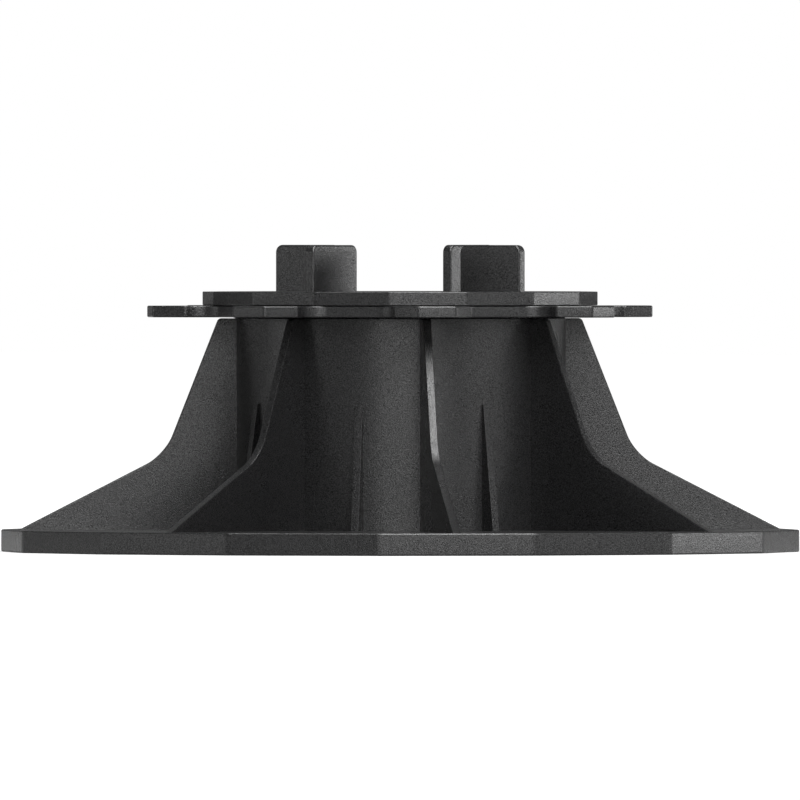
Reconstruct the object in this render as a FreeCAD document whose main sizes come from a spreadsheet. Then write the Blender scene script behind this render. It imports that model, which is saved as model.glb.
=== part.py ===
import FreeCAD, Part
import os
import Sketcher

# Adjustable decking pedestal, moulded in black polypropylene, at its lowest height.
# A threaded stem hangs from the head and stands in a ring, which is its nut. The ring turns
# on top of the base's sleeve, and lifts the head by one pitch each turn. Slabs rest on the
# head, and their corners stand between its four tabs, which keeps the head from turning.
# Both threads are drawn plain: the stem as the cylinder over its crests, and the ring's
# collar with a bore that clears it.
# The frame is +Z up, with its origin under the middle of the foot. A gusset stands on +X.

SIZES = [
    ("foot_across", 200.0, "foot plate, across opposite corners"),
    ("foot_height", 5.1, "height of the foot plate's rim"),
    ("foot_corner", 5.0, "radius of the foot plate's upright corners"),
    ("foot_edge", 0.45, "bevel along the foot plate's rims"),
    ("foot_skin", 2.4, "top skin of the foot plate, over its hollow underside"),
    ("foot_wall", 2.4, "wall round the hollow underside"),
    ("under_rib", 2.0, "thickness of the ribs of the underside"),
    ("drain_radius", 10.0, "hole in the middle of the foot plate, for rain"),
    ("drain_wall", 2.0, "wall round that hole"),
    ("fixing_hole", 2.75, "radius of the holes for screws into the ground"),
    ("fixing_inset", 14.1, "from a flat side of the foot plate in to those holes"),
    ("sleeve_wall", 2.4, "wall of the sleeve"),
    ("sleeve_height", 53.35, "height of the sleeve above the foot plate"),
    ("sleeve_lead", 0.8, "lead-in at the sleeve's mouth"),
    ("root_bite", 0.6, "how deep a rib's root runs into the wall it grows from"),
    ("gusset_thick", 2.1, "thickness of a gusset"),
    ("gusset_drop", 0.1, "top of a gusset below the top of the sleeve"),
    ("gusset_ledge", 4.4, "reach of a gusset's top, out from the sleeve"),
    ("gusset_tip", 1.1, "rounding of that tip"),
    ("gusset_knee_out", 17.9, "reach of a gusset's knee, out from the sleeve"),
    ("gusset_knee_up", 19.2, "height of the knee above the foot plate"),
    ("gusset_knee", 13.4, "radius of the hollow knee"),
    ("gusset_rim_gap", 1.9, "from a gusset's toe out to the flat side of the foot plate"),
    ("fin_thick", 1.95, "thickness of a fin"),
    ("fin_height", 31.9, "height of a fin above the foot plate"),
    ("fin_ledge", 0.6, "reach of a fin's top, out from the sleeve"),
    ("fin_toe", 5.2, "reach of a fin's toe, out from the sleeve"),
    ("ring_gap", 0.15, "play between the sleeve's top and the ring"),
    ("ring_thick", 2.9, "thickness of the ring"),
    ("ring_land", 9.6, "from the collar out to the floor of a notch"),
    ("notch_half", 12.2, "half the width of a notch between two lobes"),
    ("notch_corner", 5.8, "radius of a notch's inner corners"),
    ("shoulder_out", 6.8, "from the floor of a notch out to its shoulders"),
    ("shoulder_corner", 1.0, "rounding of a shoulder"),
    ("lobe_out", 14.9, "from the floor of a notch out to the flat end of a lobe"),
    ("lobe_half", 4.9, "half the width of that flat end"),
    ("lobe_corner", 1.1, "rounding of a lobe's corners"),
    ("collar_depth", 12.0, "length of the collar below the ring"),
    ("collar_wall", 1.5, "wall of the collar"),
    ("collar_play", 0.3, "radial play between the collar and the sleeve"),
    ("bead_out", 0.75, "how far the snap bead stands out of the collar"),
    ("bead_height", 1.85, "height of the bead"),
    ("bead_play", 0.15, "play between the bead and the roof of its groove"),
    ("stem_radius", 36.9, "radius of the stem, over the crests of its thread"),
    ("stem_wall", 3.9, "wall of the hollow stem, thread included"),
    ("thread_play", 0.3, "play between the stem and the collar"),
    ("stem_floor_gap", 0.9, "from the foot plate up to the end of the stem"),
    ("head_across", 99.0, "head plate, across opposite corners"),
    ("head_thick", 3.4, "thickness of the head plate"),
    ("head_gap", 0.1, "play between the ring and the head plate"),
    ("head_corner", 2.5, "radius of the head plate's upright corners"),
    ("head_edge", 0.35, "bevel along the head plate's outline"),
    ("web_depth", 8.0, "depth of the webs under the head plate"),
    ("web_thick", 2.0, "thickness of those webs"),
    ("head_hole", 2.25, "radius of the screw holes in the head plate"),
    ("head_hole_circle", 26.0, "radius of the circle that those holes lie on"),
    ("tab_length", 18.5, "length of a spacer tab, along the radius"),
    ("tab_overhang", 5.0, "from the bore of the stem out to the tab's outer edge"),
    ("tab_height", 11.65, "height of a tab above the head plate"),
    ("tab_thick", 2.6, "thickness of a tab, which sets the joint between slabs"),
    ("tab_corner", 1.9, "radius of a tab's two top corners"),
    ("tenon_inset", 2.5, "from a tab's inner edge to its tenon"),
    ("tenon_gap", 2.0, "from the tenon out to the bore of the stem"),
    ("tenon_thick", 2.0, "thickness of the tenon"),
    ("tenon_play", 0.1, "play between the tenon and its slot"),
    ("tenon_slit", 1.6, "width of the slit that lets the two barbs spring"),
    ("slit_roof", 1.0, "solid left between the slit and the top of the head plate"),
    ("barb_out", 0.5, "how far a barb stands out of the tenon"),
    ("barb_depth", 1.8, "length of a barb, below the head plate"),
]

SIDES = 16  # sides of the foot plate and of the head plate
BAYS = 8  # gussets, fins between them, lobes of the ring, and webs under the head
TABS = 4
SCREWS = 4  # holes for screws, in the foot plate and in the head plate

STEP = 360 / SIDES  # turn from one side of a plate to the next, in degrees
BAY = 360 / BAYS  # turn from one gusset to the next, in degrees

# Sizes that follow from the driving ones, as expressions for the model's constraints.
FOOT_FLAT = f"(Sizes.foot_across / 2 * cos({STEP / 2}))"
STEM_BORE = "(Sizes.stem_radius - Sizes.stem_wall)"
COLLAR_BORE = "(Sizes.stem_radius + Sizes.thread_play)"
COLLAR = f"({COLLAR_BORE} + Sizes.collar_wall)"
BEAD = f"({COLLAR} + Sizes.bead_out)"
SLEEVE_BORE = f"({COLLAR} + Sizes.collar_play)"
SNAP_GROOVE = f"({BEAD} + Sizes.collar_play)"
SLEEVE = f"({SLEEVE_BORE} + Sizes.sleeve_wall)"
UNDER_RING = f"(({SLEEVE} + {FOOT_FLAT}) / 2)"
FIXING_LINE = f"({FOOT_FLAT} - Sizes.fixing_inset)"
NOTCH_FLOOR = f"({COLLAR} + Sizes.ring_land)"
SHOULDER = f"({NOTCH_FLOOR} + Sizes.shoulder_out)"
LOBE_REACH = f"({NOTCH_FLOOR} + Sizes.lobe_out)"
TAB_OUTER = f"({STEM_BORE} + Sizes.tab_overhang)"
TAB_INNER = f"({TAB_OUTER} - Sizes.tab_length)"
TENON_OUTER = f"({STEM_BORE} - Sizes.tenon_gap)"
TENON_INNER = f"({TAB_INNER} + Sizes.tenon_inset)"
SLANTED_RIB = f"(Sizes.under_rib / (2 * cos({BAY / 2})))"  # half a rib, along a straight wall

ROOT_FLOOR = "(Sizes.foot_height - Sizes.root_bite)"
SLEEVE_TOP = "(Sizes.foot_height + Sizes.sleeve_height)"
RING_BOTTOM = f"({SLEEVE_TOP} + Sizes.ring_gap)"
RING_TOP = f"({RING_BOTTOM} + Sizes.ring_thick)"
COLLAR_FOOT = f"({RING_BOTTOM} - Sizes.collar_depth)"
BEAD_TOP = f"({COLLAR_FOOT} + Sizes.bead_height)"
HEAD_BOTTOM = f"({RING_TOP} + Sizes.head_gap)"
HEAD_TOP = f"({HEAD_BOTTOM} + Sizes.head_thick)"
STEM_FOOT = "(Sizes.foot_height + Sizes.stem_floor_gap)"
WEB_FOOT = f"({HEAD_BOTTOM} - Sizes.web_depth)"


def size_sheet(doc):
    """The spreadsheet of driving dimensions: name, value and meaning in each row."""
    sheet = doc.addObject("Spreadsheet::Sheet", "Sizes")
    for row, (name, value, meaning) in enumerate(SIZES, start=1):
        sheet.set(f"A{row}", name)
        sheet.set(f"B{row}", str(value))
        sheet.set(f"C{row}", meaning)
        sheet.setAlias(f"B{row}", name)
    doc.recompute()
    return sheet


def value(text):
    """The number that an expression gives with the sheet's present sizes."""
    return float(FreeCAD.ActiveDocument.Sizes.evalExpression(text))


def origin_part(body, role):
    """One of the body's own origin planes or axes."""
    return next(part for part in body.Origin.OriginFeatures if part.Role == role)


def new_body(doc, label):
    body = doc.addObject("PartDesign::Body", label)
    body.Label = label
    body.Placement = FreeCAD.Placement()
    return body


def new_sketch(body, name, role="XY_Plane", level="0", turn=0.0):
    """A sketch on an origin plane, lifted to a level or turned about the upright axis."""
    sketch = body.newObject("Sketcher::SketchObject", name)
    sketch.AttachmentSupport = (origin_part(body, role), [""])
    sketch.MapMode = "FlatFace"
    upright = FreeCAD.Vector(0, 0, 1) if role == "XY_Plane" else FreeCAD.Vector(0, 1, 0)
    sketch.AttachmentOffset = FreeCAD.Placement(FreeCAD.Vector(), FreeCAD.Rotation(upright, turn))
    if role == "XY_Plane":
        sketch.setExpression("AttachmentOffset.Base.z", level)
    return sketch


def hold(sketch, kind, place, text):
    """A constraint at one place of the sketch, whose value is an expression."""
    number = sketch.addConstraint(Sketcher.Constraint(kind, *place, value(text)))
    sketch.setExpression(f"Constraints[{number}]", text)


def add_outline(sketch, corners):
    """A closed outline of straight edges, with each corner's two expressions."""
    points = [FreeCAD.Vector(value(across), value(up), 0) for across, up in corners]
    lines = []
    for start, end in zip(points, points[1:] + points[:1]):
        lines.append(sketch.addGeometry(Part.LineSegment(start, end)))
    for line, following in zip(lines, lines[1:] + lines[:1]):
        sketch.addConstraint(Sketcher.Constraint("Coincident", line, 2, following, 1))
    for line, (across, up) in zip(lines, corners):
        hold(sketch, "DistanceX", (-1, 1, line, 1), across)
        hold(sketch, "DistanceY", (-1, 1, line, 1), up)


def add_circle(sketch, radius, across="0"):
    """A circle centred on the sketch's first axis."""
    centre = FreeCAD.Vector(value(across), 0, 0)
    circle = sketch.addGeometry(Part.Circle(centre, FreeCAD.Vector(0, 0, 1), value(radius)))
    hold(sketch, "DistanceX", (-1, 1, circle, 3), across)
    sketch.addConstraint(Sketcher.Constraint("PointOnObject", circle, 3, -1))
    hold(sketch, "Radius", (circle,), radius)


def add_polygon(sketch, sides, radius):
    """A regular polygon with the middle of one side on the sketch's first axis."""
    turns = [(index + 0.5) * 360 / sides for index in range(sides)]
    add_outline(sketch, [(f"{radius} * cos({turn})", f"{radius} * sin({turn})") for turn in turns])


def add_cell(sketch, inner, outer_half):
    """A cell astride the sketch's first axis, between two ribs of the foot's underside.

    It starts at a straight wall, and ends at a wall given by one half of its outline.
    """
    half = f"({inner} * tan({BAY / 2}) - {SLANTED_RIB})"
    below = [(inner, f"-{half}")] + [(across, f"-{up}") for across, up in outer_half]
    above = outer_half[::-1] + [(inner, half)]
    add_outline(sketch, below + above)


def finish_feature(body, feature):
    """Makes the feature the body's tip, and stops if it failed or changed nothing."""
    before = feature.BaseFeature.Shape.Volume if feature.BaseFeature else 0.0
    body.Tip = feature
    body.Document.recompute()
    if "Invalid" in feature.State or "Error" in feature.State or feature.Shape.isNull():
        raise SystemExit(f"{body.Label}: {feature.Name} failed")
    if abs(feature.Shape.Volume - before) < 1e-6:
        raise SystemExit(f"{body.Label}: {feature.Name} changes nothing")
    return feature


def pad(body, name, sketch, length, down=False, centred=False):
    feature = body.newObject("PartDesign::Pad", name)
    feature.Profile = sketch
    feature.setExpression("Length", length)
    feature.Reversed = down
    feature.SideType = "Symmetric" if centred else "One side"
    return finish_feature(body, feature)


def pocket(body, name, sketch, length, up=False):
    """Cuts down from the sketch, or up."""
    feature = body.newObject("PartDesign::Pocket", name)
    feature.Profile = sketch
    feature.setExpression("Length", length)
    feature.Reversed = up
    return finish_feature(body, feature)


def revolve(body, name, sketch):
    feature = body.newObject("PartDesign::Revolution", name)
    feature.Profile = sketch
    feature.ReferenceAxis = (sketch, ["V_Axis"])
    feature.Angle = 360.0
    return finish_feature(body, feature)


def around(body, name, features, count):
    """Repeats features evenly about the upright axis."""
    pattern = body.newObject("PartDesign::PolarPattern", name)
    pattern.Originals = features
    pattern.Axis = (origin_part(body, "Z_Axis"), [""])
    pattern.Angle = 360.0
    pattern.Occurrences = count
    return finish_feature(body, pattern)


def dress_edges(body, name, kind, measure, size, wanted):
    """Rounds or bevels those edges of the body that pass a test."""
    base = body.Tip
    numbered = enumerate(base.Shape.Edges, start=1)
    names = [f"Edge{number}" for number, edge in numbered if wanted(edge)]
    feature = body.newObject(kind, name)
    feature.Base = (base, names)
    feature.setExpression(measure, size)
    return finish_feature(body, feature)


def round_edges(body, name, radius, wanted):
    return dress_edges(body, name, "PartDesign::Fillet", "Radius", radius, wanted)


def bevel_edges(body, name, width, wanted):
    return dress_edges(body, name, "PartDesign::Chamfer", "Size", width, wanted)


def is_close(first, second):
    return abs(first - second) < 1e-4


def is_upright(edge):
    """True for a straight edge along Z."""
    box = edge.BoundBox
    return box.ZLength > 1e-4 and box.XLength < 1e-4 and box.YLength < 1e-4


def is_level(edge, *heights):
    """True for an edge that lies flat at one of the heights."""
    box = edge.BoundBox
    return any(is_close(box.ZMin, height) and is_close(box.ZMax, height) for height in heights)


def reach(edge):
    """Distance of the edge's middle from the upright axis."""
    middle = edge.valueAt((edge.FirstParameter + edge.LastParameter) / 2)
    return FreeCAD.Vector(middle.x, middle.y, 0).Length


def plate(body, name, radius, bottom, thickness, corner, rim):
    """A sixteen-sided plate with rounded corners and bevelled rims."""
    outline = new_sketch(body, f"{name}_outline", level=bottom)
    add_polygon(outline, SIDES, radius)
    pad(body, name, outline, thickness)
    round_edges(body, f"{name}_corners", corner, is_upright)
    rims = (value(bottom), value(f"{bottom} + {thickness}"))
    bevel_edges(body, f"{name}_rims", rim, lambda edge: is_level(edge, *rims))


def make_base(doc):
    """Foot plate, sleeve, gussets and fins, moulded as one piece."""
    body = new_body(doc, "base")
    plate(body, "foot", "Sizes.foot_across / 2", "0", "Sizes.foot_height",
          "Sizes.foot_corner", "Sizes.foot_edge")
    hollow_underside(body)
    raise_sleeve(body)
    raise_gussets(body)
    raise_fins(body)
    pierce_foot(body)
    return body


def hollow_underside(body):
    """Three rings of cells under the foot plate, with a rib below each gusset."""
    bore_wall = f"({SLEEVE_BORE} * cos({BAY / 2}))"
    ring_wall = f"({UNDER_RING} - Sizes.under_rib / 2)"
    rim = f"({FOOT_FLAT} - Sizes.foot_wall)"
    rim_half = [
        (f"({rim} * cos({BAY / 2}) + Sizes.under_rib / 2 * sin({BAY / 2}))",
         f"({rim} * sin({BAY / 2}) - Sizes.under_rib / 2 * cos({BAY / 2}))"),
        (rim, f"({rim} * tan({STEP / 2}))"),
    ]
    cells = new_sketch(body, "cells", turn=BAY / 2)
    add_cell(cells, "(Sizes.drain_radius + Sizes.drain_wall)",
             [(bore_wall, f"({bore_wall} * tan({BAY / 2}) - {SLANTED_RIB})")])
    add_cell(cells, SLEEVE, [(ring_wall, f"({ring_wall} * tan({BAY / 2}) - {SLANTED_RIB})")])
    add_cell(cells, f"({UNDER_RING} + Sizes.under_rib / 2)", rim_half)
    cut = pocket(body, "cell", cells, "Sizes.foot_height - Sizes.foot_skin", up=True)
    around(body, "cell_round", [cut], BAYS)


def raise_sleeve(body):
    """The sleeve, with the groove that the ring's snap bead turns in."""
    groove_low = f"({COLLAR_FOOT} - Sizes.bead_height / 2)"
    groove_high = f"({BEAD_TOP} + Sizes.bead_play)"
    section = new_sketch(body, "sleeve_section", "XZ_Plane")
    add_outline(section, [
        (SLEEVE_BORE, ROOT_FLOOR),
        (SLEEVE, ROOT_FLOOR),
        (SLEEVE, SLEEVE_TOP),
        (f"{SLEEVE_BORE} + Sizes.sleeve_lead", SLEEVE_TOP),
        (SLEEVE_BORE, f"{SLEEVE_TOP} - Sizes.sleeve_lead"),
        (SLEEVE_BORE, groove_high),
        (SNAP_GROOVE, groove_high),
        (SNAP_GROOVE, f"{groove_low} + {SNAP_GROOVE} - {SLEEVE_BORE}"),
        (SLEEVE_BORE, groove_low),
    ])
    revolve(body, "sleeve", section)


def raise_gussets(body):
    """Eight gussets with a hollow knee, from the sleeve's top down to the rim."""
    root = f"({SLEEVE} - Sizes.root_bite)"
    top = f"({SLEEVE_TOP} - Sizes.gusset_drop)"
    knee_up = "(Sizes.foot_height + Sizes.gusset_knee_up)"
    toe = f"({FOOT_FLAT} - Sizes.gusset_rim_gap)"
    profile = new_sketch(body, "gusset_profile", "XZ_Plane")
    add_outline(profile, [
        (root, ROOT_FLOOR),
        (toe, ROOT_FLOOR),
        (toe, "Sizes.foot_height"),
        (f"{SLEEVE} + Sizes.gusset_knee_out", knee_up),
        (f"{SLEEVE} + Sizes.gusset_ledge", top),
        (root, top),
    ])
    gusset = pad(body, "gusset", profile, "Sizes.gusset_thick", centred=True)
    around(body, "gusset_round", [gusset], BAYS)
    ledge = value(f"{SLEEVE} + Sizes.gusset_ledge")
    knee = value(f"{SLEEVE} + Sizes.gusset_knee_out")
    round_edges(body, "gusset_knees", "Sizes.gusset_knee",
                lambda edge: is_level(edge, value(knee_up)) and is_close(reach(edge), knee))
    round_edges(body, "gusset_tips", "Sizes.gusset_tip",
                lambda edge: is_level(edge, value(top)) and is_close(reach(edge), ledge))


def raise_fins(body):
    """Eight low fins, each halfway between two gussets."""
    root = f"({SLEEVE} - Sizes.root_bite)"
    top = "(Sizes.foot_height + Sizes.fin_height)"
    profile = new_sketch(body, "fin_profile", "XZ_Plane", turn=BAY / 2)
    add_outline(profile, [
        (root, ROOT_FLOOR),
        (f"{SLEEVE} + Sizes.fin_toe", ROOT_FLOOR),
        (f"{SLEEVE} + Sizes.fin_toe", "Sizes.foot_height"),
        (f"{SLEEVE} + Sizes.fin_ledge", top),
        (root, top),
    ])
    fin = pad(body, "fin", profile, "Sizes.fin_thick", centred=True)
    around(body, "fin_round", [fin], BAYS)


def pierce_foot(body):
    """The drain in the middle, and a screw hole in every other bay."""
    drain = new_sketch(body, "drain_circle")
    add_circle(drain, "Sizes.drain_radius")
    pocket(body, "drain", drain, "Sizes.foot_height", up=True)
    screw = new_sketch(body, "screw_circle", turn=BAY / 2)
    add_circle(screw, "Sizes.fixing_hole", FIXING_LINE)
    hole = pocket(body, "screw_hole", screw, "Sizes.foot_height", up=True)
    around(body, "screw_hole_round", [hole], SCREWS)


def make_ring(doc):
    """Ring with eight lobes to grip, over a collar with a snap bead."""
    body = new_body(doc, "adjusting_ring")
    blank = new_sketch(body, "ring_blank", level=RING_BOTTOM)
    add_polygon(blank, BAYS, f"({LOBE_REACH} / cos({BAY / 2}))")
    pad(body, "ring", blank, "Sizes.ring_thick")
    notch = new_sketch(body, "notch_outline", level=RING_TOP, turn=BAY / 2)
    end_across = f"({LOBE_REACH} * cos({BAY / 2}) + Sizes.lobe_half * sin({BAY / 2}))"
    end_up = f"({LOBE_REACH} * sin({BAY / 2}) - Sizes.lobe_half * cos({BAY / 2}))"
    clear = f"({LOBE_REACH} * 1.2)"
    add_outline(notch, [
        (NOTCH_FLOOR, "-Sizes.notch_half"),
        (SHOULDER, "-Sizes.notch_half"),
        (end_across, f"-{end_up}"),
        (clear, f"-{end_up}"),
        (clear, end_up),
        (end_across, end_up),
        (SHOULDER, "Sizes.notch_half"),
        (NOTCH_FLOOR, "Sizes.notch_half"),
    ])
    cut = pocket(body, "notch", notch, "Sizes.ring_thick")
    around(body, "notch_round", [cut], BAYS)
    round_outline(body)
    bore = new_sketch(body, "bore_circle", level=RING_TOP)
    add_circle(bore, COLLAR_BORE)
    pocket(body, "bore", bore, "Sizes.ring_thick")
    hang_collar(body)
    return body


def round_outline(body):
    """Rounds the ring's upright corners."""
    corners = (
        ("notch_corners", "Sizes.notch_corner", NOTCH_FLOOR, "Sizes.notch_half"),
        ("shoulders", "Sizes.shoulder_corner", SHOULDER, "Sizes.notch_half"),
        ("lobe_corners", "Sizes.lobe_corner", LOBE_REACH, "Sizes.lobe_half"),
    )
    for name, radius, along, across in corners:
        distance = value(f"sqrt({along} ^ 2 + {across} ^ 2)")
        round_edges(body, name, radius,
                    lambda edge: is_upright(edge) and is_close(reach(edge), distance))


def hang_collar(body):
    """The collar in the sleeve: a tube with a snap bead at its foot."""
    section = new_sketch(body, "collar_section", "XZ_Plane")
    add_outline(section, [
        (COLLAR_BORE, COLLAR_FOOT),
        (f"{COLLAR} - Sizes.bead_out / 2", COLLAR_FOOT),
        (BEAD, f"{BEAD_TOP} - Sizes.bead_out"),
        (BEAD, BEAD_TOP),
        (COLLAR, BEAD_TOP),
        (COLLAR, f"{RING_BOTTOM} + Sizes.ring_thick / 2"),
        (COLLAR_BORE, f"{RING_BOTTOM} + Sizes.ring_thick / 2"),
    ])
    revolve(body, "collar", section)


def make_head(doc):
    """Head plate over the webbed top of its stem, with slots for the tabs."""
    body = new_body(doc, "head")
    plate(body, "top", "Sizes.head_across / 2", HEAD_BOTTOM, "Sizes.head_thick",
          "Sizes.head_corner", "Sizes.head_edge")
    hang_tube(body, "stem_root", HEAD_BOTTOM, WEB_FOOT)
    hang_webs(body)
    slot = new_sketch(body, "slot_outline", level=HEAD_TOP)
    half = "(Sizes.tenon_thick / 2 + Sizes.tenon_play)"
    start = f"{TENON_INNER} - Sizes.tenon_play"
    end = f"{TENON_OUTER} + Sizes.tenon_play"
    add_outline(slot, [(start, f"-{half}"), (end, f"-{half}"), (end, half), (start, half)])
    slot_cut = pocket(body, "tab_slot", slot, "Sizes.head_thick")
    around(body, "tab_slot_round", [slot_cut], TABS)
    screw = new_sketch(body, "head_screw_circle", level=HEAD_TOP, turn=180 / SCREWS)
    add_circle(screw, "Sizes.head_hole", "Sizes.head_hole_circle")
    hole = pocket(body, "head_hole", screw, "Sizes.head_thick")
    around(body, "head_hole_round", [hole], SCREWS)
    return body


def make_stem(doc):
    """The open stem below the webs. It is one moulding with the head, and is drawn by itself."""
    body = new_body(doc, "stem")
    hang_tube(body, "stem_tube", WEB_FOOT, STEM_FOOT)
    return body


def hang_tube(body, name, top, foot):
    """A length of the stem's tube, from one height down to another."""
    circles = new_sketch(body, f"{name}_circles", level=top)
    add_circle(circles, "Sizes.stem_radius")
    add_circle(circles, STEM_BORE)
    pad(body, name, circles, f"{top} - {foot}", down=True)


def hang_webs(body):
    """Eight webs under the head plate, from the middle out to the stem."""
    web = new_sketch(body, "web_outline", level=HEAD_BOTTOM, turn=BAY / 2)
    half = "Sizes.web_thick / 2"
    end = f"{STEM_BORE} + Sizes.root_bite"
    add_outline(web, [(f"-{half}", f"-{half}"), (end, f"-{half}"), (end, half), (f"-{half}", half)])
    first = pad(body, "web", web, "Sizes.web_depth", down=True)
    around(body, "web_round", [first], BAYS)


def make_tab(doc, number):
    """A spacer blade with a split, barbed tenon that snaps through the head plate."""
    body = new_body(doc, f"spacer_tab_{number}")
    top = f"({HEAD_TOP} + Sizes.tab_height)"
    blade = new_sketch(body, f"blade_outline_{number}", "XZ_Plane")
    add_outline(blade, [
        (TAB_INNER, HEAD_TOP), (TAB_OUTER, HEAD_TOP), (TAB_OUTER, top), (TAB_INNER, top),
    ])
    pad(body, f"blade_{number}", blade, "Sizes.tab_thick", centred=True)
    round_edges(body, f"top_corners_{number}", "Sizes.tab_corner",
                lambda edge: is_level(edge, value(top)) and edge.BoundBox.XLength < 1e-4)
    add_tenon(body, number)
    body.Placement = FreeCAD.Placement(
        FreeCAD.Vector(), FreeCAD.Rotation(FreeCAD.Vector(0, 0, 1), (number - 1) * 360 / TABS))
    return body


def add_tenon(body, number):
    """The tenon below the blade, slit up the middle, with a barb at each end."""
    middle = f"(({TENON_INNER} + {TENON_OUTER}) / 2)"
    slit_top = f"{HEAD_TOP} - Sizes.slit_roof"
    catch = f"{HEAD_BOTTOM} - Sizes.tenon_play"
    barb_side = f"{catch} - Sizes.barb_out"
    end = f"{HEAD_BOTTOM} - Sizes.barb_depth"
    seat = f"{HEAD_TOP} + Sizes.root_bite"
    profile = new_sketch(body, f"tenon_outline_{number}", "XZ_Plane")
    add_outline(profile, [
        (TENON_INNER, seat),
        (TENON_INNER, catch),
        (f"{TENON_INNER} - Sizes.barb_out", catch),
        (f"{TENON_INNER} - Sizes.barb_out", barb_side),
        (TENON_INNER, end),
        (f"{middle} - Sizes.tenon_slit / 2", end),
        (f"{middle} - Sizes.tenon_slit / 2", slit_top),
        (f"{middle} + Sizes.tenon_slit / 2", slit_top),
        (f"{middle} + Sizes.tenon_slit / 2", end),
        (TENON_OUTER, end),
        (f"{TENON_OUTER} + Sizes.barb_out", barb_side),
        (f"{TENON_OUTER} + Sizes.barb_out", catch),
        (TENON_OUTER, catch),
        (TENON_OUTER, seat),
    ])
    pad(body, f"tenon_{number}", profile, "Sizes.tenon_thick", centred=True)


def check(doc, bodies):
    """Stops if anything failed, or if a sub-part isn't one closed, valid solid."""
    doc.recompute()
    for item in doc.Objects:
        if "Invalid" in item.State or "Error" in item.State:
            raise SystemExit(f"{item.Name} failed: {item.State}")
    for body in bodies:
        shape = body.Shape
        if shape.isNull() or not shape.isValid() or len(shape.Solids) != 1:
            raise SystemExit(f"{body.Label} isn't one valid solid")


def main():
    doc = FreeCAD.newDocument("decking_pedestal")
    size_sheet(doc)
    bodies = [make_base(doc), make_ring(doc), make_head(doc), make_stem(doc)]
    bodies += [make_tab(doc, number) for number in range(1, TABS + 1)]
    check(doc, bodies)
    os.makedirs("parts", exist_ok=True)
    for body in bodies:
        body.Shape.exportStep(f"parts/{body.Label}.step")
        print(body.Label, round(body.Shape.Volume, 1), "cubic mm", body.Shape.BoundBox)


main()
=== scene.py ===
# %% [markdown]
# # A decking pedestal, dressed for its portrait
# The pedestal is moulded in black polypropylene: a foot with a ribbed sleeve, a ring that turns
# on it, and a head that the ring lifts on a coarse thread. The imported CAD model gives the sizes
# and the motion. Here every moulding is modelled again with the soft edges that a mould leaves,
# and gets the fine grain of a spark-eroded tool.

# %% Load the frame
import math

import bpy
from mathutils import Matrix, Vector


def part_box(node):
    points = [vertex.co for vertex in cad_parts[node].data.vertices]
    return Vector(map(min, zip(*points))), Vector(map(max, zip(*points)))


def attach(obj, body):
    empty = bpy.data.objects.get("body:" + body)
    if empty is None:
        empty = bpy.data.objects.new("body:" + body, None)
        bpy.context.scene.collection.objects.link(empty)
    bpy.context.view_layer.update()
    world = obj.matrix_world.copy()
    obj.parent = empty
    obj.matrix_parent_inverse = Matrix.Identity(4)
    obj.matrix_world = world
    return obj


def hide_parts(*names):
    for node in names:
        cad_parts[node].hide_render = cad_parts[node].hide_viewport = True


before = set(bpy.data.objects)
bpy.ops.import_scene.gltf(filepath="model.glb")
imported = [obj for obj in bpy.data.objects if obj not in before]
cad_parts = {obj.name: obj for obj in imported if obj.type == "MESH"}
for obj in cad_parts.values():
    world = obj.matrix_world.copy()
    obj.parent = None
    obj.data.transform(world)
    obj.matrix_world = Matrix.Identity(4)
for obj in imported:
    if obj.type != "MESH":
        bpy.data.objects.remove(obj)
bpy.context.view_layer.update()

# %% [markdown]
# ## Sizes
# The CAD solids give what they can: how far the foot reaches, and where each piece starts and
# ends. Read from the frame, these sizes can't drift away from the CAD. What a box can't tell is
# named here or beside its piece, in metres, with a millimetre as the unit.

# %% Sizes
MM = 0.001
SIDES = 16  # sides of the foot plate and of the head plate
BAYS = 8  # gussets, fins, lobes and webs
TABS = 4
SCREWS = 4
STEP = math.tau / SIDES
BAY = math.tau / BAYS

FOOT_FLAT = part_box("base")[1][0]
SLEEVE_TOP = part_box("base")[1][2]
RING_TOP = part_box("adjusting_ring")[1][2]
COLLAR_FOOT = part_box("adjusting_ring")[0][2]
LOBE_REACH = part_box("adjusting_ring")[1][0]
HEAD_FLAT, _, HEAD_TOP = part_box("head")[1]
STEM_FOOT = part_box("stem")[0][2]
(TAB_INNER, TAB_SIDE, TENON_FOOT), (TAB_OUTER, _, TAB_TOP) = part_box("spacer_tab_1")
RING_BOTTOM = RING_TOP - 2.9 * MM
HEAD_BOTTOM = HEAD_TOP - 3.4 * MM
FOOT_TOP = 5.55 * MM
SLEEVE_BORE = 39.0 * MM
SLEEVE = 41.4 * MM
TENON_INNER, TENON_OUTER = 22.0 * MM, 31.0 * MM  # where a tab's tenon starts and ends
ROOT_BITE = 0.6 * MM  # how deep a rib's root runs into the wall that it grows from
print("foot", FOOT_FLAT, "sleeve top", SLEEVE_TOP, "ring", RING_BOTTOM, RING_TOP)
print("head", HEAD_FLAT, HEAD_TOP, "tab", TAB_INNER, TAB_OUTER, TAB_TOP)

# %% [markdown]
# ## A few ways of working
# Every moulding here is either an outline that is pushed to a thickness, or a section that is
# spun round the upright axis. Both start as a ring of corners, which is a circle primitive with
# its corners put in place. Edges are picked by a test on where they lie, and then bevelled.


# %% Helpers that select
def only(piece):
    """Makes one object the active one, and the only one selected."""
    bpy.ops.object.select_all(action="DESELECT")
    piece.select_set(True)
    bpy.context.view_layer.objects.active = piece


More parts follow.
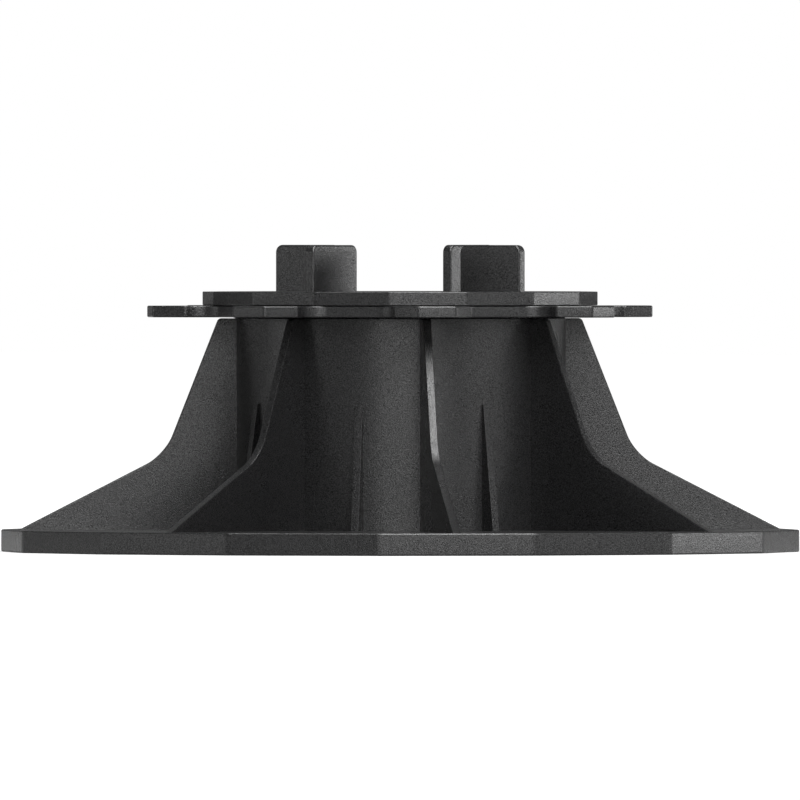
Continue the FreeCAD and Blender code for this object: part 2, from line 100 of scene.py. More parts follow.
def pick_edges(piece, wanted):
    """Opens the piece in edit mode with those edges selected whose two ends pass a test."""
    only(piece)
    bpy.ops.object.mode_set(mode="EDIT")
    bpy.ops.mesh.select_mode(type="EDGE")
    bpy.ops.mesh.select_all(action="DESELECT")
    bpy.ops.object.mode_set(mode="OBJECT")
    corners = piece.data.vertices
    count = 0
    for edge in piece.data.edges:
        first, second = (corners[number].co for number in edge.vertices)
        edge.select = wanted(first, second)
        count += edge.select
    bpy.ops.object.mode_set(mode="EDIT")
    return count


def bevel(piece, width, segments, wanted):
    """Rounds the edges that pass a test. The width is measured along the faces."""
    count = pick_edges(piece, wanted)
    bpy.ops.mesh.bevel(offset=width, segments=segments, profile=0.5, affect="EDGES",
                       clamp_overlap=True)
    bpy.ops.object.mode_set(mode="OBJECT")
    return count


def close(first, second):
    return abs(first - second) < 2e-6


def reach(point):
    return math.hypot(point.x, point.y)


def tangent_length(radius, turn):
    """How far from a corner a fillet starts, for a corner that turns by an angle."""
    return radius * math.tan(turn / 2)


# %% Helpers that shape
def corner_ring(name, corners):
    """A closed ring of corners, in edit mode and all selected."""
    bpy.ops.object.select_all(action="DESELECT")
    bpy.ops.mesh.primitive_circle_add(vertices=len(corners), fill_type="NOTHING")
    piece = bpy.context.object
    piece.name = piece.data.name = name
    for vertex, corner in zip(piece.data.vertices, corners):
        vertex.co = corner
    bpy.ops.object.mode_set(mode="EDIT")
    bpy.ops.mesh.select_all(action="SELECT")
    return piece


def push_outline(name, corners, along):
    """A solid made by pushing an outline along a vector."""
    piece = corner_ring(name, corners)
    bpy.ops.mesh.edge_face_add()
    bpy.ops.mesh.extrude_region_move(TRANSFORM_OT_translate={"value": along})
    bpy.ops.mesh.select_all(action="SELECT")
    bpy.ops.mesh.normals_make_consistent(inside=False)
    bpy.ops.object.mode_set(mode="OBJECT")
    return piece


def spin_section(name, section, steps):
    """A solid made by spinning a section, given as radius and height, round the upright axis."""
    piece = corner_ring(name, [Vector((radius, 0, height)) for radius, height in section])
    bpy.ops.mesh.spin(steps=steps, angle=math.tau, center=(0, 0, 0), axis=(0, 0, 1))
    bpy.ops.mesh.select_all(action="SELECT")
    bpy.ops.mesh.remove_doubles(threshold=1e-6)
    bpy.ops.mesh.normals_make_consistent(inside=False)
    bpy.ops.object.mode_set(mode="OBJECT")
    return piece


def turn_and_apply(piece, turn):
    """Turns a piece about the upright axis, and puts the turn into its mesh."""
    only(piece)
    piece.rotation_euler.z = turn
    bpy.ops.object.transform_apply(location=True, rotation=True, scale=True)


def copies_around(piece, count, first_turn=0.0):
    """Copies of a piece, each with its own mesh, evenly about the upright axis."""
    copies = []
    for number in range(count):
        only(piece)
        bpy.ops.object.duplicate(linked=False)
        copies.append(bpy.context.object)
        turn_and_apply(copies[-1], first_turn + number * math.tau / count)
    bpy.data.objects.remove(piece)
    return copies


def joined(pieces, name):
    """One object that holds the meshes of several."""
    bpy.ops.object.select_all(action="DESELECT")
    for piece in pieces:
        piece.select_set(True)
    bpy.context.view_layer.objects.active = pieces[0]
    bpy.ops.object.join()
    whole = bpy.context.object
    whole.name = whole.data.name = name
    return whole


def combine(piece, tool, operation):
    """Adds the tool's solid to the piece's, or cuts it away, and removes the tool."""
    only(piece)
    bpy.ops.object.modifier_add(type="BOOLEAN")
    modifier = piece.modifiers[-1]
    modifier.operation = operation
    modifier.solver = "EXACT"
    modifier.object = tool
    bpy.ops.object.modifier_apply(modifier=modifier.name)
    bpy.data.objects.remove(tool)


def plate(name, flat, low, high, corner, rim):
    """A sixteen-sided plate with rounded corners and soft rims."""
    radius = flat / math.cos(STEP / 2)
    turns = [(number + 0.5) * STEP for number in range(SIDES)]
    outline = [Vector((radius * math.cos(turn), radius * math.sin(turn), low)) for turn in turns]
    piece = push_outline(name, outline, (0, 0, high - low))
    bevel(piece, tangent_length(corner, STEP), 3, lambda a, b: not close(a.z, b.z))
    bevel(piece, rim, 3, lambda a, b: close(a.z, b.z) and (close(a.z, low) or close(a.z, high)))
    return piece


def pin(name, radius, low, high, away=0.0, turn=0.0, vertices=32):
    """An upright cylinder, used to cut a round hole."""
    place = (away * math.cos(turn), away * math.sin(turn), (low + high) / 2)
    bpy.ops.object.select_all(action="DESELECT")
    bpy.ops.mesh.primitive_cylinder_add(vertices=vertices, radius=radius, depth=high - low,
                                        location=place)
    piece = bpy.context.object
    piece.name = piece.data.name = name
    bpy.ops.object.transform_apply(location=True, rotation=True, scale=True)
    return piece


def finish_moulding(piece, sharp_from=40):
    """Shades a moulding smooth over its roundings, and flat on its faces."""
    only(piece)
    bpy.ops.object.mode_set(mode="EDIT")
    bpy.ops.mesh.select_all(action="SELECT")
    bpy.ops.mesh.remove_doubles(threshold=2e-6)
    bpy.ops.object.mode_set(mode="OBJECT")
    bpy.ops.object.shade_smooth_by_angle(angle=math.radians(sharp_from))
    bpy.ops.object.modifier_add(type="WEIGHTED_NORMAL")
    modifier = piece.modifiers[-1]
    modifier.keep_sharp = True
    bpy.ops.object.modifier_apply(modifier=modifier.name)
    print(piece.name, len(piece.data.polygons), "faces")


# %% [markdown]
# ## The camera
# The photograph is a side view from far away. The plate's top hardly shows, and the rounding of
# its rim is a thin bright line. A near camera with a short lens would look down on the plate, so
# this one stands eight metres off with a very long lens, a hand's breadth above the ground. It
# comes early, because the lamps are placed around its line of sight.

# %% Camera
AZIMUTH = math.radians(36.6)
TO_CAMERA = Vector((math.sin(AZIMUTH), -math.cos(AZIMUTH), 0))
TO_RIGHT = Vector((math.cos(AZIMUTH), math.sin(AZIMUTH), 0))
CAMERA_DISTANCE = 8.0
CAMERA_HEIGHT = 89 * MM
AIM_HEIGHT = 37.88 * MM
bpy.ops.object.camera_add(location=TO_CAMERA * CAMERA_DISTANCE + Vector((0, 0, CAMERA_HEIGHT)))
camera = bpy.context.object
camera.name = "portrait_camera"
camera.data.lens = 1440
camera.data.sensor_width = 36
camera.data.clip_end = 60
line_of_sight = Vector((0, 0, AIM_HEIGHT)) - camera.location
camera.rotation_euler = line_of_sight.to_track_quat("-Z", "Y").to_euler()
bpy.context.scene.camera = camera
bpy.context.scene.view_settings.view_transform = "Standard"
print("camera at", [round(value, 3) for value in camera.location])

# %% [markdown]
# ## The foot
# The foot and its sleeve are one moulding. The plate is a sixteen-sided outline pushed up, the
# sleeve is a spun section, and the two are united, as they are in the mould. A spun section is
# better here than a cut cylinder, because it holds the groove for the ring's snap bead and the
# lead-in at the top in one outline.

# %% Foot plate and sleeve
BEAD_TOP = COLLAR_FOOT + 1.85 * MM
SNAP_GROOVE = 39.75 * MM
SLEEVE_LEAD = 0.8 * MM
SLEEVE_EDGE = 0.2 * MM
FOOT_CORNER, FOOT_RIM = 5.0 * MM, 0.38 * MM
base = plate("base_moulding", FOOT_FLAT, 0.0, FOOT_TOP, FOOT_CORNER, FOOT_RIM)
groove_low = COLLAR_FOOT - 0.925 * MM
groove_high = BEAD_TOP + 0.15 * MM
sleeve = spin_section("sleeve", [
    (SLEEVE_BORE, FOOT_TOP - ROOT_BITE),
    (SLEEVE, FOOT_TOP - ROOT_BITE),
    (SLEEVE, SLEEVE_TOP - SLEEVE_EDGE),
    (SLEEVE - SLEEVE_EDGE, SLEEVE_TOP),
    (SLEEVE_BORE + SLEEVE_LEAD, SLEEVE_TOP),
    (SLEEVE_BORE, SLEEVE_TOP - SLEEVE_LEAD),
    (SLEEVE_BORE, groove_high),
    (SNAP_GROOVE, groove_high),
    (SNAP_GROOVE, groove_low + SNAP_GROOVE - SLEEVE_BORE),
    (SLEEVE_BORE, groove_low),
], steps=144)
combine(base, sleeve, "UNION")
print("foot and sleeve", len(base.data.polygons), "faces")

# %% [markdown]
# ## The gussets and the fins
# Eight gussets brace the sleeve. Each is a thin plate with a hollow knee, so its outline is
# drawn with straight edges first and the knee is bevelled into a large radius, which keeps the
# curve tangential to both edges. The fins between them are low wedges. One of each is modelled,
# and copied around.

# %% Gussets
RIB_EDGE = 0.28 * MM
GUSSET_THICK = 2.1 * MM
TIP_OUT = 4.4 * MM
KNEE_OUT, KNEE_UP = 17.9 * MM, 18.75 * MM
KNEE_RADIUS = 13.4 * MM
TIP_RADIUS = 1.1 * MM


def upright_plate(name, outline, thickness):
    """A thin plate that stands astride the X axis, from an outline of radius and height."""
    corners = [Vector((radius, -thickness / 2, height)) for radius, height in outline]
    return push_outline(name, corners, (0, thickness, 0))


def along_thickness(at_radius, at_height):
    """A test for the edge that crosses the plate's thickness at one corner of its outline."""
    def wanted(first, second):
        crosses = abs(first.y - second.y) > 0.5 * MM
        return crosses and close(first.x, at_radius) and close(first.z, at_height)
    return wanted


root = SLEEVE - ROOT_BITE
toe = FOOT_FLAT - 1.9 * MM
tip = (SLEEVE + TIP_OUT, SLEEVE_TOP - 0.1 * MM)
knee = (SLEEVE + KNEE_OUT, FOOT_TOP + KNEE_UP)
steep = math.atan2(tip[1] - knee[1], knee[0] - tip[0])
shallow = math.atan2(knee[1] - FOOT_TOP, toe - knee[0])
gusset = upright_plate("gusset", [
    (root, FOOT_TOP - ROOT_BITE),
    (toe, FOOT_TOP - ROOT_BITE),
    (toe, FOOT_TOP),
    knee,
    tip,
    (root, tip[1]),
], GUSSET_THICK)
bevel(gusset, tangent_length(KNEE_RADIUS, steep - shallow), 10, along_thickness(*knee))
bevel(gusset, tangent_length(TIP_RADIUS, steep), 5, along_thickness(*tip))


def on_broad_faces(clear_of):
    """A test for the outline's edges on both broad faces, out from a radius."""
    def wanted(first, second):
        same_face = close(first.y, second.y)
        outside = max(first.x, second.x) > clear_of and max(first.z, second.z) > FOOT_TOP + 1e-5
        return same_face and outside
    return wanted


bevel(gusset, RIB_EDGE, 2, on_broad_faces(root + 1e-4))
gussets = copies_around(gusset, BAYS)
print(len(gussets), "gussets, steep at", round(math.degrees(steep), 1), "degrees")

# %% Fins
FIN_THICK = 1.95 * MM
fin_toe = SLEEVE + 5.2 * MM
fin_top = FOOT_TOP + 31.45 * MM
fin = upright_plate("fin", [
    (root, FOOT_TOP - ROOT_BITE),
    (fin_toe, FOOT_TOP - ROOT_BITE),
    (fin_toe, FOOT_TOP),
    (SLEEVE + 0.6 * MM, fin_top),
    (root, fin_top),
], FIN_THICK)
bevel(fin, RIB_EDGE, 2, on_broad_faces(root + 1e-4))
fins = copies_around(fin, BAYS, BAY / 2)
ribs = joined(gussets + fins, "ribs")
combine(base, ribs, "UNION")
print("base with ribs", len(base.data.polygons), "faces")

# %% [markdown]
# ## The underside and the holes
# A thick plate would sink as it cools, so the underside is hollowed into three rings of cells.
# They are cut with one set of wedges, copied around and taken away in a single cut. The drain
# and the screw holes go right through.

# %% Underside and holes
FOOT_SKIN = 2.4 * MM
UNDER_RIB = 2.0 * MM
UNDER_RING = (SLEEVE + FOOT_FLAT) / 2
DRAIN = 10.0 * MM
FIXING_HOLE = 2.75 * MM
BELOW = -1.0 * MM  # where the cutting shapes start, clear of the plate
half_rib = UNDER_RIB / 2 / math.cos(BAY / 2)


def cell(name, inner, outer_half):
    """A wedge between two ribs of the underside, from half of its outer outline."""
    half = inner * math.tan(BAY / 2) - half_rib
    below = [(inner, -half)] + [(across, -up) for across, up in outer_half]
    above = outer_half[::-1] + [(inner, half)]
    outline = [Vector((across, up, BELOW)) for across, up in below + above]
    return push_outline(name, outline, (0, 0, FOOT_TOP - FOOT_SKIN - BELOW))


def straight_wall(flat):
    return [(flat, flat * math.tan(BAY / 2) - half_rib)]


rim = FOOT_FLAT - FOOT_SKIN
rim_wall = [
    (rim * math.cos(BAY / 2) + UNDER_RIB / 2 * math.sin(BAY / 2),
     rim * math.sin(BAY / 2) - UNDER_RIB / 2 * math.cos(BAY / 2)),
    (rim, rim * math.tan(STEP / 2)),
]
cells = [
    cell("near_cell", DRAIN + UNDER_RIB, straight_wall(SLEEVE_BORE * math.cos(BAY / 2))),
    cell("middle_cell", SLEEVE, straight_wall(UNDER_RING - UNDER_RIB / 2)),
    cell("rim_cell", UNDER_RING + UNDER_RIB / 2, rim_wall),
]
wedges = [copy for shape in cells for copy in copies_around(shape, BAYS, BAY / 2)]
combine(base, joined(wedges, "cells"), "DIFFERENCE")
fixing_line = FOOT_FLAT - 14.1 * MM
pins = [pin("drain", DRAIN, BELOW, FOOT_TOP - BELOW, vertices=64)]
for number in range(SCREWS):
    turn = BAY / 2 + number * math.tau / SCREWS
    pins.append(pin("screw", FIXING_HOLE, BELOW, FOOT_TOP - BELOW, fixing_line, turn))
combine(base, joined(pins, "pins"), "DIFFERENCE")
finish_moulding(base)

# %% [markdown]
# ## The adjusting ring
# The ring has eight square lobes, to turn it by hand. Six corners describe one lobe and the
# notch beside it, and they repeat eight times round the outline. Lobes joined to a disc would
# leave seams, so the whole outline is drawn at once. Each kind of corner has its own radius, and
# is picked by its distance from the axis.

# %% Ring outline
COLLAR = 38.7 * MM
CORE = 35.4 * MM
THREAD_DEPTH = 1.5 * MM
THREAD_PLAY = 0.3 * MM
PITCH = 7.0 * MM
NOTCH_FLOOR = COLLAR + 9.6 * MM
SHOULDER = NOTCH_FLOOR + 6.8 * MM
NOTCH_HALF = 12.2 * MM
LOBE_HALF = 4.9 * MM


def turned(across, up, turn, height):
    """A point given along and across a direction, at a height."""
    return Matrix.Rotation(turn, 3, "Z") @ Vector((across, up, height))


outline = []
for number in range(BAYS):
    lobe = number * BAY
    notch = lobe + BAY / 2
    outline += [
        turned(LOBE_REACH, -LOBE_HALF, lobe, RING_BOTTOM),
        turned(LOBE_REACH, LOBE_HALF, lobe, RING_BOTTOM),
        turned(SHOULDER, -NOTCH_HALF, notch, RING_BOTTOM),
        turned(NOTCH_FLOOR, -NOTCH_HALF, notch, RING_BOTTOM),
        turned(NOTCH_FLOOR, NOTCH_HALF, notch, RING_BOTTOM),
        turned(SHOULDER, NOTCH_HALF, notch, RING_BOTTOM),
    ]
ring = push_outline("ring_moulding", outline, (0, 0, RING_TOP - RING_BOTTOM))


def turn_at(before, corner, after):
    """How far an outline turns at a corner."""
    return (corner - before).angle(after - corner)


for at, radius, segments in ((3, 5.8 * MM, 8), (2, 1.0 * MM, 4), (1, 1.1 * MM, 5)):
    distance = reach(outline[at])
    width = tangent_length(radius, turn_at(*outline[at - 1:at + 2]))
    count = bevel(ring, width, segments,
                  lambda a, b: not close(a.z, b.z) and close(reach(a), distance))
    print("rounded", count, "corners to", radius)
bevel(ring, 0.35 * MM, 3, lambda a, b: close(a.z, b.z))

# %% [markdown]
# ## The collar and its thread
# Under the ring hangs a collar, inside the sleeve. It has a snap bead at its foot, and it is
# the nut of the head's thread. Rings side by side would look like a thread and not wind like
# one, so the thread is one section carried round and up by the Screw modifier. That gives a
# ridge with open ends, which are then filled.

# %% Collar
FLANK = math.radians(15)
CREST_HALF = 1.1 * MM


def helix(name, near, far, start, rise, play):
    """A right-hand ridge round the upright axis, with a trapezium for its section."""
    def half_width(radius):
        slope = (CORE + THREAD_DEPTH - radius) * math.tan(FLANK)
        return CREST_HALF + slope + play
    piece = corner_ring(name, [
        Vector((near, 0, start - half_width(near))),
        Vector((far, 0, start - half_width(far))),
        Vector((far, 0, start + half_width(far))),
        Vector((near, 0, start + half_width(near))),
    ])
    bpy.ops.object.mode_set(mode="OBJECT")
    bpy.ops.object.modifier_add(type="SCREW")
    modifier = piece.modifiers[-1]
    turns = rise / PITCH
    modifier.axis = "Z"
    modifier.angle = math.tau * turns
    modifier.screw_offset = rise
    modifier.steps = modifier.render_steps = round(72 * turns)
    modifier.use_merge_vertices = False
    bpy.ops.object.modifier_apply(modifier=modifier.name)
    bpy.ops.object.mode_set(mode="EDIT")
    bpy.ops.mesh.select_mode(type="EDGE")
    bpy.ops.mesh.select_all(action="DESELECT")
    bpy.ops.mesh.select_non_manifold(extend=False)
    bpy.ops.mesh.fill_holes(sides=4)
    bpy.ops.mesh.select_all(action="SELECT")
    bpy.ops.mesh.normals_make_consistent(inside=False)
    bpy.ops.object.mode_set(mode="OBJECT")
    return piece


BEAD = 39.45 * MM
thread_start = STEM_FOOT + PITCH / 2
collar_bore = CORE + THREAD_PLAY
combine(ring, pin("bore", collar_bore, RING_BOTTOM - MM, RING_TOP + MM, vertices=144), "DIFFERENCE")
collar = spin_section("collar", [
    (collar_bore, COLLAR_FOOT),
    (BEAD - 1.125 * MM, COLLAR_FOOT),
    (BEAD, BEAD_TOP - 0.75 * MM),
    (BEAD, BEAD_TOP),
    (COLLAR, BEAD_TOP),
    (COLLAR, RING_BOTTOM + MM),
    (collar_bore, RING_BOTTOM + MM),
], steps=144)
combine(ring, collar, "UNION")
turns_below = math.floor((COLLAR_FOOT - thread_start) / PITCH - 0.5)
groove_start = thread_start + turns_below * PITCH
groove_rise = PITCH * math.ceil((RING_TOP - groove_start) / PITCH + 0.5)
groove = helix("groove", CORE, CORE + THREAD_DEPTH + THREAD_PLAY, groove_start, groove_rise,
               THREAD_PLAY)
combine(ring, groove, "DIFFERENCE")
finish_moulding(ring)

# %% [markdown]
# ## The head
# The head is a sixteen-sided plate over a hollow stem. Webs brace the plate inside the stem,
# and slots and screw holes pass between them. The thread's ridge comes last, because it is the
# finest shape, and every cut after it would have to work round it.

# %% Head
STEM_BORE = CORE - 2.4 * MM
WEB_FOOT = HEAD_BOTTOM - 8.0 * MM
SLOT_HALF = 1.1 * MM
SLOT_PLAY = 0.1 * MM
HEAD_HOLE = 2.25 * MM
HEAD_HOLE_CIRCLE = 26.0 * MM
HEAD_CORNER, HEAD_RIM = 2.5 * MM, 0.2 * MM
head = plate("head_moulding", HEAD_FLAT, HEAD_BOTTOM, HEAD_TOP, HEAD_CORNER, HEAD_RIM)
stem = spin_section("stem", [
    (STEM_BORE, STEM_FOOT),
    (CORE, STEM_FOOT),
    (CORE, HEAD_BOTTOM + MM),
    (STEM_BORE, HEAD_BOTTOM + MM),
], steps=144)
combine(head, stem, "UNION")


def bar(name, inner, outer, half, low, high):
    """A level bar along the X axis, given by its ends, its half width and its heights."""
    corners = [(inner, -half), (outer, -half), (outer, half), (inner, half)]
    outline = [Vector((across, up, low)) for across, up in corners]
    return push_outline(name, outline, (0, 0, high - low))


web = bar("web", -STEM_BORE - ROOT_BITE, STEM_BORE + ROOT_BITE, MM, WEB_FOOT, HEAD_BOTTOM + MM)
for number in range(BAYS // 2):
    only(web)
    bpy.ops.object.duplicate(linked=False)
    crossing = bpy.context.object
    turn_and_apply(crossing, BAY / 2 + number * BAY)
    combine(head, crossing, "UNION")
bpy.data.objects.remove(web)
slot = bar("slot", TENON_INNER - SLOT_PLAY, TENON_OUTER + SLOT_PLAY, SLOT_HALF,
           HEAD_BOTTOM - MM, HEAD_TOP + MM)
cuts = copies_around(slot, TABS)
for number in range(SCREWS):
    turn = (number + 0.5) * math.tau / SCREWS
    cuts.append(pin("head_hole", HEAD_HOLE, HEAD_BOTTOM - MM, HEAD_TOP + MM,
                    HEAD_HOLE_CIRCLE, turn))
combine(head, joined(cuts, "cuts"), "DIFFERENCE")
thread_rise = HEAD_BOTTOM - 3.0 * MM - PITCH / 2 - thread_start
ridge = helix("ridge", CORE - THREAD_PLAY, CORE + THREAD_DEPTH, thread_start, thread_rise, 0.0)
combine(head, ridge, "UNION")
finish_moulding(head)

# %% [markdown]
# ## The spacer tabs
# Four blades stand on the head and set the joint between slabs. A blade is a box with its two
# top corners rounded and its edges softened. Below it, a split tenon with two barbs snaps
# through the head's slot. One tab is modelled, and copied around.

# %% Spacer tabs
TAB_HALF = -TAB_SIDE
TAB_CORNER, TAB_EDGE = 1.9 * MM, 0.5 * MM
TENON_THICK = 2.0 * MM
BARB = 0.5 * MM
SLIT_HALF = 0.8 * MM
middle = (TENON_INNER + TENON_OUTER) / 2
catch = HEAD_BOTTOM - 0.1 * MM
tab = upright_plate("spacer_blade", [
    (TAB_INNER, HEAD_TOP),
    (TAB_OUTER, HEAD_TOP),
    (TAB_OUTER, TAB_TOP),
    (TAB_INNER, TAB_TOP),
], 2 * TAB_HALF)
for side in (TAB_INNER, TAB_OUTER):
    bevel(tab, TAB_CORNER, 8, along_thickness(side, TAB_TOP))
bevel(tab, TAB_EDGE, 3,
      lambda a, b: close(a.y, b.y) and max(a.z, b.z) > HEAD_TOP + 1e-5)
tenon = upright_plate("tenon", [
    (TENON_INNER, HEAD_TOP + ROOT_BITE),
    (TENON_INNER, catch),
    (TENON_INNER - BARB, catch),
    (TENON_INNER - BARB, catch - BARB),
    (TENON_INNER, TENON_FOOT),
    (middle - SLIT_HALF, TENON_FOOT),
    (middle - SLIT_HALF, HEAD_TOP - MM),
    (middle + SLIT_HALF, HEAD_TOP - MM),
    (middle + SLIT_HALF, TENON_FOOT),
    (TENON_OUTER, TENON_FOOT),
    (TENON_OUTER + BARB, catch - BARB),
    (TENON_OUTER + BARB, catch),
    (TENON_OUTER, catch),
    (TENON_OUTER, HEAD_TOP + ROOT_BITE),
], TENON_THICK)
combine(tab, tenon, "UNION")
finish_moulding(tab)
tabs = copies_around(tab, TABS)
for number, piece in enumerate(tabs, start=1):
    piece.name = piece.data.name = f"spacer_blade_{number}"
print(len(tabs), "spacer tabs")

# %% [markdown]
# ## Moulded polypropylene
# Black plastic shows hardly any colour of its own. What is seen of it is the room, dimly
# mirrored and broken up by the fine grain of the mould's spark-eroded skin. A bump alone blurs
# away in so dim a mirror, so the grain's high spots are also a little paler and carry more of a
# second, thin gloss. Slow patches make the plastic a little smoother where it was pressed
# hardest. The grain is a node group, so that its size and strength are set in one place. Its
# pattern leans away from the axes, because noise is weak in a plane along its own lattice.


# %% Grain
def grain_group():
    """Moulded grain: a fine height for bump, tone and gloss, and slow patches for roughness."""
    group = bpy.data.node_groups.new("moulded_grain", "ShaderNodeTree")
    group.interface.new_socket("Grain Scale", in_out="INPUT", socket_type="NodeSocketFloat")
    group.interface.new_socket("Patch Scale", in_out="INPUT", socket_type="NodeSocketFloat")
    group.interface.new_socket("Height", in_out="OUTPUT", socket_type="NodeSocketFloat")
    group.interface.new_socket("Patch", in_out="OUTPUT", socket_type="NodeSocketFloat")
    nodes, links = group.nodes, group.links
    start = nodes.new("NodeGroupInput")
    end = nodes.new("NodeGroupOutput")
    place = nodes.new("ShaderNodeTexCoord")
    lean = nodes.new("ShaderNodeMapping")
    lean.inputs["Rotation"].default_value = (0.5, 0.35, 0.2)
    grain = nodes.new("ShaderNodeTexNoise")
    grain.inputs["Detail"].default_value = 0.6
    grain.inputs["Roughness"].default_value = 0.65
    patch = nodes.new("ShaderNodeTexNoise")
    patch.inputs["Detail"].default_value = 4.0
    links.new(place.outputs["Object"], lean.inputs["Vector"])
    links.new(lean.outputs["Vector"], grain.inputs["Vector"])
    links.new(lean.outputs["Vector"], patch.inputs["Vector"])
    links.new(start.outputs["Grain Scale"], grain.inputs["Scale"])
    links.new(start.outputs["Patch Scale"], patch.inputs["Scale"])
    links.new(grain.outputs["Fac"], end.inputs["Height"])
    links.new(patch.outputs["Fac"], end.inputs["Patch"])
    return group


def mapped(nodes, links, source, low, high):
    """Carries a value from the middle half of its range to a new range."""
    node = nodes.new("ShaderNodeMapRange")
    node.inputs["From Min"].default_value = 0.3
    node.inputs["From Max"].default_value = 0.7
    node.inputs["To Min"].default_value = low
    node.inputs["To Max"].default_value = high
    links.new(source, node.inputs["Value"])
    return node.outputs["Result"]


def black_polypropylene(group):
    """Black plastic with a grain. Its plain values sit on the shader's own sockets."""
    material = bpy.data.materials.new("black_polypropylene")
    material.use_nodes = True
    nodes, links = material.node_tree.nodes, material.node_tree.links
    shader = nodes["Principled BSDF"]
    grain = nodes.new("ShaderNodeGroup")
    grain.node_tree = group
    grain.inputs["Grain Scale"].default_value = 3900
    grain.inputs["Patch Scale"].default_value = 55
    tone = nodes.new("ShaderNodeMix")
    tone.data_type = "RGBA"
    tone.inputs["A"].default_value = (0.002, 0.002, 0.002, 1)
    tone.inputs["B"].default_value = (0.013, 0.013, 0.0135, 1)
    links.new(mapped(nodes, links, grain.outputs["Height"], 0.0, 1.0), tone.inputs["Factor"])
    links.new(tone.outputs["Result"], shader.inputs["Base Color"])
    shader.inputs["Specular IOR Level"].default_value = 0.24
    shader.inputs["Coat Roughness"].default_value = 0.28
    rough = mapped(nodes, links, grain.outputs["Patch"], 0.31, 0.25)
    links.new(rough, shader.inputs["Roughness"])
    coat = mapped(nodes, links, grain.outputs["Height"], 0.05, 0.75)
    links.new(coat, shader.inputs["Coat Weight"])
    bump = nodes.new("ShaderNodeBump")
    bump.inputs["Strength"].default_value = 1.0
    bump.inputs["Distance"].default_value = 0.00012
    links.new(grain.outputs["Height"], bump.inputs["Height"])
    links.new(bump.outputs["Normal"], shader.inputs["Normal"])
    return material


plastic = black_polypropylene(grain_group())
for piece in [base, ring, head] + tabs:
    piece.data.materials.clear()
    piece.data.materials.append(plastic)
print("material", plastic.name)

# %% [markdown]
# ## What moves with what
# Each moulding stands for its CAD solid and rides on its body, so the poses move it as they
# move the solid: the ring turns, and the head rises with its tabs. Head and stem are two solids
# in the CAD and one moulding here.

# %% Bodies
for piece, nodes, body in [
    (base, ["base"], "base"),
    (ring, ["adjusting_ring"], "ring"),
    (head, ["head", "stem"], "head"),
]:
    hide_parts(*nodes)
    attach(piece, body)
for number, piece in enumerate(tabs, start=1):
    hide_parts(f"spacer_tab_{number}")
    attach(piece, "head")

# %% [markdown]
# ## The floor
# The photograph was taken on white. White paint would throw too much light up into the gloss, so
# the floor is painted grey and glows for the camera alone, which makes it look white and lights
# nothing. Near the pedestal the glow is weaker and the lamps make up the rest, so that a shadow
# shows there.

# %% Floor
SHADOW_START, SHADOW_END = 0.12, 0.6
FLOOR_DROP = 0.02 * MM  # keeps the floor clear of the foot's flat underside


def floor_material():
    """Grey paint with a glow for the camera, which is weakest near the pedestal."""
    material = bpy.data.materials.new("white_floor")
    material.use_nodes = True
    nodes, links = material.node_tree.nodes, material.node_tree.links
    nodes.clear()
    end = nodes.new("ShaderNodeOutputMaterial")
    paint = nodes.new("ShaderNodeBsdfDiffuse")
    paint.inputs["Color"].default_value = (0.25, 0.25, 0.25, 1)
    glow = nodes.new("ShaderNodeEmission")
    place = nodes.new("ShaderNodeTexCoord")
    away = nodes.new("ShaderNodeVectorMath")
    away.operation = "LENGTH"
    fade = nodes.new("ShaderNodeMapRange")
    fade.inputs["From Min"].default_value = SHADOW_START
    fade.inputs["From Max"].default_value = SHADOW_END
    fade.inputs["To Min"].default_value = 0.45
    fade.inputs["To Max"].default_value = 1.0
    path = nodes.new("ShaderNodeLightPath")
    level = nodes.new("ShaderNodeMath")
    level.operation = "MULTIPLY"
    both = nodes.new("ShaderNodeAddShader")
    links.new(place.outputs["Object"], away.inputs[0])
    links.new(away.outputs["Value"], fade.inputs["Value"])
    links.new(fade.outputs["Result"], level.inputs[1])
    links.new(path.outputs["Is Camera Ray"], level.inputs[0])
    links.new(level.outputs[0], glow.inputs["Strength"])
    links.new(paint.outputs[0], both.inputs[0])
    links.new(glow.outputs[0], both.inputs[1])
    links.new(both.outputs[0], end.inputs["Surface"])
    return material


bpy.ops.object.select_all(action="DESELECT")
bpy.ops.mesh.primitive_plane_add(size=16, location=(0, 0, -FLOOR_DROP))
floor = bpy.context.object
floor.name = "floor"
floor.data.materials.append(floor_material())
print(floor.name, "is", round(floor.dimensions.x), "metres wide")

# %% [markdown]
# ## The room
# All round, the room is white to the camera too. To the plastic it is a dim grey, because the
# photograph's black faces are dark wherever no lamp stands.


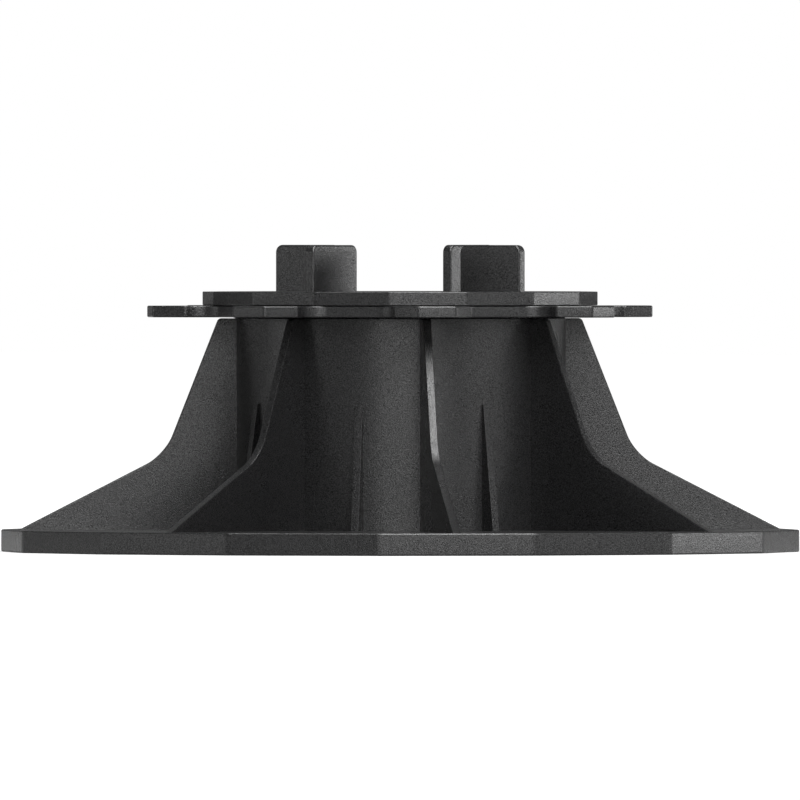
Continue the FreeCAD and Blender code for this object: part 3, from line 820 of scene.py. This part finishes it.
# %% Room
def white_room():
    """White to the camera, and a dim grey to everything that it lights."""
    world = bpy.data.worlds.new("white_room")
    world.use_nodes = True
    nodes, links = world.node_tree.nodes, world.node_tree.links
    background = nodes["Background"]
    background.inputs["Color"].default_value = (1, 1, 1, 1)
    path = nodes.new("ShaderNodeLightPath")
    level = nodes.new("ShaderNodeMapRange")
    level.inputs["To Min"].default_value = 0.17
    level.inputs["To Max"].default_value = 1.0
    links.new(path.outputs["Is Camera Ray"], level.inputs["Value"])
    links.new(level.outputs["Result"], background.inputs["Strength"])
    bpy.context.scene.world = world


white_room()
print("room", bpy.context.scene.world.name)

# %% [markdown]
# ## The lamps
# Each facet of the foot mirrors one direction, so the photograph's facets tell how bright its
# studio was all round: brightest high up in front, softer at the sides and nearly dark behind.
# Each soft box stands where the light came from. The fills are low and flat, so that the level
# tops don't glare when they are seen from behind. One helper places them all, by their angle
# from the camera.


# %% Lamps
def soft_box(name, side_angle, elevation, distance, width, height, power):
    """A lamp placed by its angle from the camera, to the right for positive angles."""
    side, up = math.radians(side_angle), math.radians(elevation)
    level = TO_CAMERA * math.cos(side) + TO_RIGHT * math.sin(side)
    place = (level * math.cos(up) + Vector((0, 0, math.sin(up)))) * distance
    bpy.ops.object.light_add(type="AREA", location=place)
    lamp = bpy.context.object
    lamp.name = name
    lamp.data.shape = "RECTANGLE"
    lamp.data.size = width
    lamp.data.size_y = height
    lamp.data.energy = power
    lamp.rotation_euler = (Vector((0, 0, 0.03)) - place).to_track_quat("-Z", "Y").to_euler()
    lamp.visible_camera = False
    return lamp


soft_box("key_box", 20, 43, 1.6, 1.1, 1.1, 42)
soft_box("top_box", 20, 84, 1.6, 0.8, 0.8, 38)
soft_box("side_box", 106, 3, 1.6, 0.55, 0.55, 7.6)
soft_box("left_fill", -78, 3, 2.4, 1.8, 0.9, 9.5)
soft_box("front_fill", 5, 3, 2.4, 1.9, 0.9, 21)
soft_box("right_fill", 62, 2, 2.4, 1.2, 0.9, 7.2)
lamps = [piece.name for piece in bpy.context.scene.objects if piece.type == "LIGHT"]
print(len(lamps), "lamps:", ", ".join(lamps))

# %% [markdown]
# ## Finish
# The view layer is updated, so that every piece stands where it was put.

# %% Finish
bpy.context.view_layer.update()
